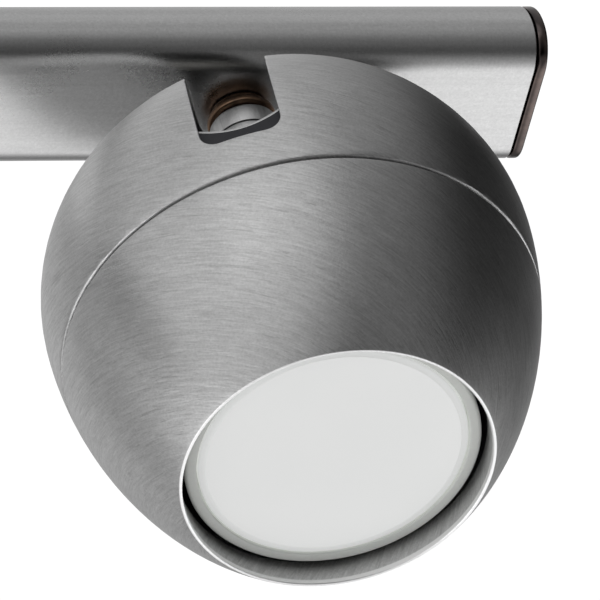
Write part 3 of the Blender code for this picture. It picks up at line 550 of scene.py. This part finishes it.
def bar_half(inset):
    low = BAR_LOW_RADIUS - inset
    high = BAR_HIGH_RADIUS - inset
    low_centre = (BAR_WIDTH / 2 - BAR_LOW_RADIUS, CORNER_Z)
    high_centre = (BAR_WIDTH / 2 - BAR_HIGH_RADIUS, CORNER_Z)
    top_angle = degrees(asin(-CORNER_Z / high))
    low_steps, high_steps = BAR_ARC_STEPS
    return arc(low_centre, low, -90, 0, low_steps) + arc(high_centre, high, 0, top_angle, high_steps)[1:]


def bar_outline(inset):
    half = bar_half(inset)
    return half[::-1] + [(-y, z) for y, z in half]


def at_x(outline, x):
    return [(x, y, z) for y, z in outline]


def drill(piece, radius, centre, axis):
    """Cut a round hole through a wall, along Y or Z."""
    half = CUTTER_LENGTH / 2
    cutter = lathe("hole", [(0.0, -half), (radius, -half), (radius, half), (0.0, half)], CUTTER_SEGMENTS)
    turn = Matrix.Rotation(pi / 2, 4, "X") if axis == "Y" else Matrix()
    cutter.data.transform(Matrix.Translation(centre) @ turn)
    combine(piece, cutter, "DIFFERENCE")


def make_bar():
    wall = bar_outline(0.0) + bar_outline(BAR_WALL)[::-1]
    edge = bar_outline(BAR_EDGE) + bar_outline(BAR_WALL - BAR_EDGE)[::-1]
    inner = BAR_HALF - BAR_EDGE
    sections = [at_x(edge, -BAR_HALF), at_x(wall, -inner), at_x(wall, inner), at_x(edge, BAR_HALF)]
    bar = loft("bar_shell", sections)
    for label in SPOTS:
        nipple, _ = middle_and_size(label + "_threaded_nipple")
        drill(bar, NIPPLE_RADIUS + GAP, (nipple.x, 0, -BAR_HEIGHT), "Z")
        screw, size = middle_and_size(label + "_strap_grub_screw")
        drill(bar, size.x / 2 + GAP, (screw.x, BAR_WIDTH / 2, screw.z), "Y")
    finish(bar, NICKEL_BAR, "base", ["bar_profile"])


def make_end_cap(label, side):
    """Glossy cap with rounded edges, and the plug that holds it in the bar."""
    low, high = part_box(label + "_end_cap")
    outer = max(abs(low.x), abs(high.x)) / MM
    plug_end = min(abs(low.x), abs(high.x)) / MM
    inner = BAR_HALF + GAP
    rim = CAP_INNER_EDGE
    stations = [(inner, rim), (inner + rim / 3, rim / 3), (inner + rim, 0.0)]
    for turn in steps_between(0.0, pi / 2, CAP_STEPS):
        stations.append((outer - CAP_EDGE * (1 - sin(turn)), CAP_EDGE * (1 - cos(turn))))
    cap = loft(label + "_cap", [at_x(bar_outline(inset), side * x) for x, inset in stations])
    slim = BAR_WALL + GAP
    stations = [(plug_end, slim + BAR_EDGE), (plug_end + BAR_EDGE, slim), (inner + PLUG_OVERLAP, slim)]
    plug = loft("plug", [at_x(bar_outline(inset), side * x) for x, inset in stations])
    combine(cap, plug, "UNION")
    finish(cap, DARK_CHROME, "base", [label + "_end_cap"])


# ---- stem ----------------------------------------------------------------------------
def make_washer(label):
    top = PIVOT_DROP - GAP
    inner = NIPPLE_RADIUS + GAP
    neck = WASHER_NECK_RADIUS
    return lathe(label + "_brass_washer", [
        (inner, WASHER_LOW, FINE_EDGE), (WASHER_RADIUS, WASHER_LOW, COLLAR_EDGE),
        (WASHER_RADIUS, WASHER_STEP, 0.2), (neck, WASHER_STEP, 0.1),
        (neck, top, FINE_EDGE), (inner, top, FINE_EDGE)])


def make_collar(label):
    low = COLLAR_SEAM + GAP / 2
    inner = NIPPLE_RADIUS + GAP
    roof = COLLAR_SEAM + COLLAR_ROOF
    neck = COLLAR_NECK_RADIUS
    return lathe(label + "_collar_top", [
        (COLLAR_CAVITY_RADIUS, low), (COLLAR_RADIUS, low, SEAM_EDGE),
        (COLLAR_RADIUS, COLLAR_TOP, COLLAR_EDGE), (neck, COLLAR_TOP, 0.1),
        (neck, COLLAR_NECK_TOP, FINE_EDGE), (inner, COLLAR_NECK_TOP, FINE_EDGE),
        (inner, roof), (COLLAR_CAVITY_RADIUS, roof)])


def make_stem(label):
    top = COLLAR_SEAM - GAP / 2
    floor = COLLAR_SEAM - COLLAR_FLOOR
    return lathe(label + "_stem_body", [
        (STEM_BORE_RADIUS, STUB_BOTTOM, 0.2), (STUB_RADIUS, STUB_BOTTOM, 0.3),
        (STUB_RADIUS, COLLAR_BOTTOM, 0.2), (COLLAR_RADIUS, COLLAR_BOTTOM, COLLAR_EDGE),
        (COLLAR_RADIUS, top, SEAM_EDGE), (COLLAR_CAVITY_RADIUS, top),
        (COLLAR_CAVITY_RADIUS, floor), (STEM_BORE_RADIUS, floor)])


# ---- spot head, local frame: origin in the ball, lamp towards -Z, slot towards -Y --------
def quarter(radius, height):
    """Quarter ellipse from the ball's widest circle up to its pole, pole on the axis."""
    points = []
    for angle in steps_between(0.0, pi / 2, CURVE_STEPS)[:-1]:
        points.append((radius * cos(angle), height * sin(angle)))
    return points + [(0.0, height)]


def make_rear_shell(label):
    """Rear of the ball, with the seat for the front shell and the stem's slot."""
    edge = GROOVE_DEPTH - GROOVE_WIDTH / 2
    outer = [(front_radius(edge), -edge, GROOVE_EDGE)]
    outer += [(front_radius(depth), -depth) for depth in steps_between(edge - 1.2, 0.0, 6)]
    outer += quarter(BALL_RADIUS, BALL_REAR_DEPTH)[1:]
    inner = quarter(BALL_RADIUS - SHELL_WALL, BALL_REAR_DEPTH - SHELL_WALL)[::-1]
    seat = front_radius(SEAT_DEPTH) - SHELL_WALL
    inner += [(seat, -SEAT_DEPTH), (SEAT_RADIUS, -SEAT_DEPTH), (SEAT_RADIUS, -edge)]
    shell = lathe(label + "_back_shell", outer + inner, FINE_SEGMENTS)
    half = SLOT_WIDTH / 2
    low = -SLOT_FRONT_DEPTH
    above = BALL_REAR_DEPTH + THROUGH
    corner = half - SLOT_CORNER
    outline = (arc((-corner, low + SLOT_CORNER), SLOT_CORNER, 180, 270, CORNER_STEPS)
               + arc((corner, low + SLOT_CORNER), SLOT_CORNER, 270, 360, CORNER_STEPS)
               + [(half, above), (-half, above)])
    reach = (-BALL_RADIUS - THROUGH, SLOT_BACK_REACH)
    combine(shell, loft("slot", [[(x, y, z) for x, z in outline] for y in reach]), "DIFFERENCE")
    margin = 0.6

    def by_slot(line):
        middle = (line.verts[0].co + line.verts[1].co) / 2
        return (abs(middle.x) < half + margin and middle.z > low - margin
                and middle.y < SLOT_BACK_REACH + margin)
    soften(shell, SLOT_EDGE, 40.0, by_slot)
    return shell


def make_front_shell(label):
    """Front of the ball, with the rim and the spigot that sits in the rear shell."""
    edge = GROOVE_DEPTH + GROOVE_WIDTH / 2
    outer = [(front_radius(edge), -edge, GROOVE_EDGE)]
    for depth in steps_between(edge + 1.2, RIM_DEPTH - 0.8, CURVE_STEPS):
        outer.append((front_radius(depth), -depth))
    outer.append((front_radius(RIM_DEPTH), -RIM_DEPTH, RIM_EDGE))
    bore_back = RIM_DEPTH - RIM_BORE_LENGTH
    inner = [(RIM_BORE_RADIUS, -RIM_DEPTH, RIM_EDGE), (RIM_BORE_RADIUS, -bore_back)]
    for depth in steps_between(bore_back - 2.0, edge, 10):
        inner.append((front_radius(depth) - SHELL_WALL - 0.04 * (depth - edge), -depth))
    spigot = SEAT_RADIUS - GAP
    inner += [(front_radius(edge) - SHELL_WALL - GAP, -SPIGOT_END), (spigot, -SPIGOT_END), (spigot, -edge)]
    return lathe(label + "_nose_shell", outer + inner, FINE_SEGMENTS)


def make_lip_edge(label):
    """Rolled edge along the lip behind the slot."""
    sections = []
    for x in steps_between(-LIP_HALF_WIDTH, LIP_HALF_WIDTH, 16):
        height = LIP_TOP + x ** 2 / (2 * LIP_CURVE_RADIUS)
        outline = arc((-LIP_DISTANCE - LIP_ROLL, height), LIP_ROLL, 0.0, 330.0, 11)
        sections.append([(x, y, z) for y, z in outline])
    return loft(label + "_lip_edge", sections)


def make_bezel(label):
    face = -LAMP_FACE_DEPTH
    back = face + BEZEL_DEPTH
    bore = LENS_RADIUS + 0.2
    ledge = bore - 1.4
    return lathe(label + "_bezel_ring", [
        (bore, face, 0.25), (LAMP_RADIUS, face, 0.6), (LAMP_RADIUS, back, 0.2), (ledge, back),
        (ledge, back - 1.0), (bore, back - 1.0)], FINE_SEGMENTS)


def make_lens(label):
    """Disc with a rolled edge, a shallow step and a slight crown."""
    face = -LAMP_FACE_DEPTH
    back = face + LENS_THICKNESS
    step = LENS_RADIUS - 1.3
    rise = 0.05
    crown = []
    for share in steps_between(0.1, 1.0, 9):
        crown.append((step * (1 - share), face - rise - 0.25 * sin(pi / 2 * share)))
    return lathe(label + "_lens_disc", [
        (0.0, back), (LENS_RADIUS, back, FINE_EDGE), (LENS_RADIUS, face + 0.15, 0.3),
        (step + 0.3, face + 0.15), (step, face - rise, FINE_EDGE)] + crown, FINE_SEGMENTS)


# ---- assembly ------------------------------------------------------------------------
BAR_NODES = {"ceiling_strap": ZINC, "cable_grommet": RUBBER, "terminal_block": NYLON,
             "earth_stud": ZINC, "earth_tag": BRASS}
SPOT_NODES = {"_strap_grub_screw": ZINC, "_bar_lead": SHEATH, "_threaded_nipple": ZINC, "_bar_nut": ZINC,
              # the chassis plate's dark steel is painted shade: its face sits in the shade of the rear
              # shell
              "_yoke": DARK_STEEL_AND_SHADE, "_yoke_nut": DARK_STEEL_AND_SHADE, "_chassis_plate": DARK_STEEL_AND_SHADE,
              "_holder_bracket": DARK_STEEL_AND_SHADE, "_lamp_holder": CERAMIC, "_holder_lead": SHEATH,
              "_lamp_body": LAMP_WHITE, "_pivot_pin_a": ZINC, "_pivot_pin_b": ZINC,
              "_lamp_pin_a": ZINC, "_lamp_pin_b": ZINC, "_bracket_screw_a": ZINC,
              "_bracket_screw_b": ZINC, "_holder_screw_a": ZINC, "_holder_screw_b": ZINC}


def joint_named(name):
    return next(joint for joint in frame["joints"] if joint["name"] == name)


def build_spot(label):
    pivot = Vector(joint_named(label + "_pan")["pos_m"])
    level = -Vector(joint_named(label + "_tilt")["axis"])
    pan = Matrix.Translation(pivot) @ Matrix.Rotation(atan2(level.y, level.x), 4, "Z")
    tilt = pan @ Matrix.Rotation(radians(-REST_TILT), 4, "X")
    stem = label + "_stem"
    head = label + "_head"
    plan = (
        (make_washer(label), pan, BRASS, "brass", "base", "_stem_washer"),
        (make_collar(label), pan, NICKEL_STEM, "satin_metal", stem, "_collar_cap"),
        (make_stem(label), pan, NICKEL_STEM, "satin_metal", stem, "_swivel_stem"),
        (make_rear_shell(label), tilt, NICKEL_BALL, "satin_metal", head, "_rear_shell"),
        (make_front_shell(label), tilt, NICKEL_BALL, "satin_metal", head, "_front_shell"),
        (make_bezel(label), tilt, LAMP_WHITE, "lamp_white", head, "_lamp_bezel"),
        (make_lens(label), tilt, LENS, "lens", head, "_lamp_lens"),
    )
    for piece, place, material, slot, body, node in plan:
        finish(piece, material, body, [label + node], place)
    finish(make_lip_edge(label), NICKEL_STEM, head, [], tilt)


def dress(label, nodes):
    """Give CAD nodes that stay their own finished material."""
    for node, material in nodes.items():
        mesh = frame["nodes"][label + node].data
        mesh.materials.clear()
        mesh.materials.append(material)


# ---- studio --------------------------------------------------------------------------
# Soft lights round the camera: degrees to the viewer's right, degrees of lift, strength.
KEY_LIGHTS = ((-50, -40, 1.2), (-20, -40, 0.3), (-80, 0, 0.1), (-50, 30, 0.4), (-20, 60, 0.9),
              (55, 0, 0.12))
# Even walls of light: sides, lifts, strength of each glow.
LEFT_WALL = ((-80, -50, -20), (0, 30), 0.28)
RIGHT_WALL = ((15, 55), (30, 60), 0.09)
REAR_WALL = ((-115, -150), (-25, 25), 0.24)
FRONT_SPREAD = (5, 34)       # degrees: full strength inside, none outside
REAR_SPREAD = (8, 42)
# Soft lights fixed to the room: direction, spread, strength.
ROOM_LIGHTS = (((0.6, 0.5, -0.6), (10, 40), 1.2), ((-0.5, 0.4, -0.75), (10, 40), 0.8),
               ((0.2, 0.5, -0.85), (38, 62), 0.4), ((0.0, 0.75, 0.65), (10, 50), 0.4),
               ((0.0, -0.2, 1.0), (10, 45), 0.4), ((0.3, -0.6, 0.75), (5, 40), 0.2))
ROOM_LEVEL = 0.006
SURROUND_LEVEL = 1.05        # what the camera sees behind the object
FLOOR_LEVEL = -2.6           # metres, a common ceiling height
FLOOR_HALF = 30.0
FLOOR_GLOW = 0.35


def view_axes():
    azimuth, rise, roll = radians(VIEW_AZIMUTH), radians(VIEW_RISE), radians(VIEW_ROLL)
    forward = Vector((-sin(azimuth) * cos(rise), cos(azimuth) * cos(rise), sin(rise)))
    level = forward.cross(Vector((0, 0, 1))).normalized()
    upright = level.cross(forward)
    right = level * cos(roll) + upright * sin(roll)
    return right, forward.cross(right), forward


def add_camera():
    right, down, forward = view_axes()
    middle = Vector(joint_named("right_pan")["pos_m"])
    place = middle - right * VIEW_SHIFT[0] - down * VIEW_SHIFT[1] - forward * VIEW_DISTANCE
    data = bpy.data.cameras.new("camera")
    data.lens = VIEW_LENS
    data.clip_end = 50.0
    camera = bpy.data.objects.new("camera", data)
    bpy.context.collection.objects.link(camera)
    turn = Matrix((right, -down, -forward)).transposed().to_4x4()
    camera.matrix_world = Matrix.Translation(place) @ turn
    bpy.context.scene.camera = camera


def wall(sides, lifts, strength):
    """Lights of one strength at every pair of side and lift."""
    return tuple((side, lift, strength) for lift in lifts for side in sides)


def world_lobe(tree, direction, inner, outer, strength):
    """Soft round glow about a direction; inner and outer are angles in degrees."""
    place = tree.nodes.new("ShaderNodeTexCoord")
    facing = tree.nodes.new("ShaderNodeVectorMath")
    facing.operation = "DOT_PRODUCT"
    tree.links.new(place.outputs["Generated"], facing.inputs[0])
    facing.inputs[1].default_value = direction.normalized()
    fade = tree.nodes.new("ShaderNodeMapRange")
    fade.interpolation_type = "SMOOTHSTEP"
    tree.links.new(facing.outputs["Value"], fade.inputs[0])
    fade.inputs[1].default_value = cos(radians(outer))
    fade.inputs[2].default_value = cos(radians(inner))
    fade.inputs[3].default_value = 0.0
    fade.inputs[4].default_value = strength
    return fade.outputs[0]


def add_studio():
    """White surround for the camera; the metal mirrors soft lights in a dim room."""
    right, down, forward = view_axes()

    def toward(side_degrees, lift_degrees):
        """Direction turned from the camera to the viewer's right, then lifted."""
        side, lift = radians(side_degrees), radians(lift_degrees)
        level = -forward * cos(side) + right * sin(side)
        return level * cos(lift) - down * sin(lift)

    world = bpy.data.worlds.new("studio")
    bpy.context.scene.world = world
    world.use_nodes = True
    tree = world.node_tree
    total = None
    front = KEY_LIGHTS + wall(*LEFT_WALL) + wall(*RIGHT_WALL)
    lobes = [(toward(side, lift), *FRONT_SPREAD, strength) for side, lift, strength in front]
    lobes += [(toward(side, lift), *REAR_SPREAD, strength) for side, lift, strength in wall(*REAR_WALL)]
    lobes += [(Vector(direction), *spread, strength) for direction, spread, strength in ROOM_LIGHTS]
    for direction, inner, outer, strength in lobes:
        glow = world_lobe(tree, direction, inner, outer, strength)
        if total is None:
            total = glow
            continue
        both = tree.nodes.new("ShaderNodeMath")
        tree.links.new(total, both.inputs[0])
        tree.links.new(glow, both.inputs[1])
        total = both.outputs[0]
    room = tree.nodes.new("ShaderNodeMath")
    tree.links.new(total, room.inputs[0])
    room.inputs[1].default_value = ROOM_LEVEL
    background = tree.nodes["Background"]
    background.inputs["Color"].default_value = (1, 1, 1, 1)
    tree.links.new(room.outputs[0], background.inputs["Strength"])
    white = tree.nodes.new("ShaderNodeBackground")
    white.inputs["Color"].default_value = (1, 1, 1, 1)
    white.inputs["Strength"].default_value = SURROUND_LEVEL
    chooser = tree.nodes.new("ShaderNodeMixShader")
    path = tree.nodes.new("ShaderNodeLightPath")
    tree.links.new(path.outputs["Is Camera Ray"], chooser.inputs[0])
    tree.links.new(background.outputs[0], chooser.inputs[1])
    tree.links.new(white.outputs[0], chooser.inputs[2])
    tree.links.new(chooser.outputs[0], tree.nodes["World Output"].inputs["Surface"])


def add_floor():
    def build(work):
        half = FLOOR_HALF
        corners = ((-half, -half, 0.0), (half, -half, 0.0), (half, half, 0.0), (-half, half, 0.0))
        work.faces.new([work.verts.new(corner) for corner in corners])
    floor = new_piece("floor", build)
    floor.location = (0, 0, FLOOR_LEVEL)
    floor.data.materials.append(moulded("pale_floor", (0.90, 0.90, 0.89), 0.7, 0.02, 60.0))
    shader = floor.data.materials[0].node_tree.nodes["Principled BSDF"]
    shader.inputs["Emission Color"].default_value = (1, 1, 1, 1)
    shader.inputs["Emission Strength"].default_value = FLOOR_GLOW
    floor.visible_glossy = False
    floor.visible_diffuse = False


make_bar()
for end_label, end_side in (("left", -1), ("right", 1)):
    make_end_cap(end_label, end_side)
dress("", BAR_NODES)
for spot_label in SPOTS:
    build_spot(spot_label)
    dress(spot_label, SPOT_NODES)
add_camera()
add_studio()
add_floor()
bpy.context.scene.view_settings.view_transform = "Standard"
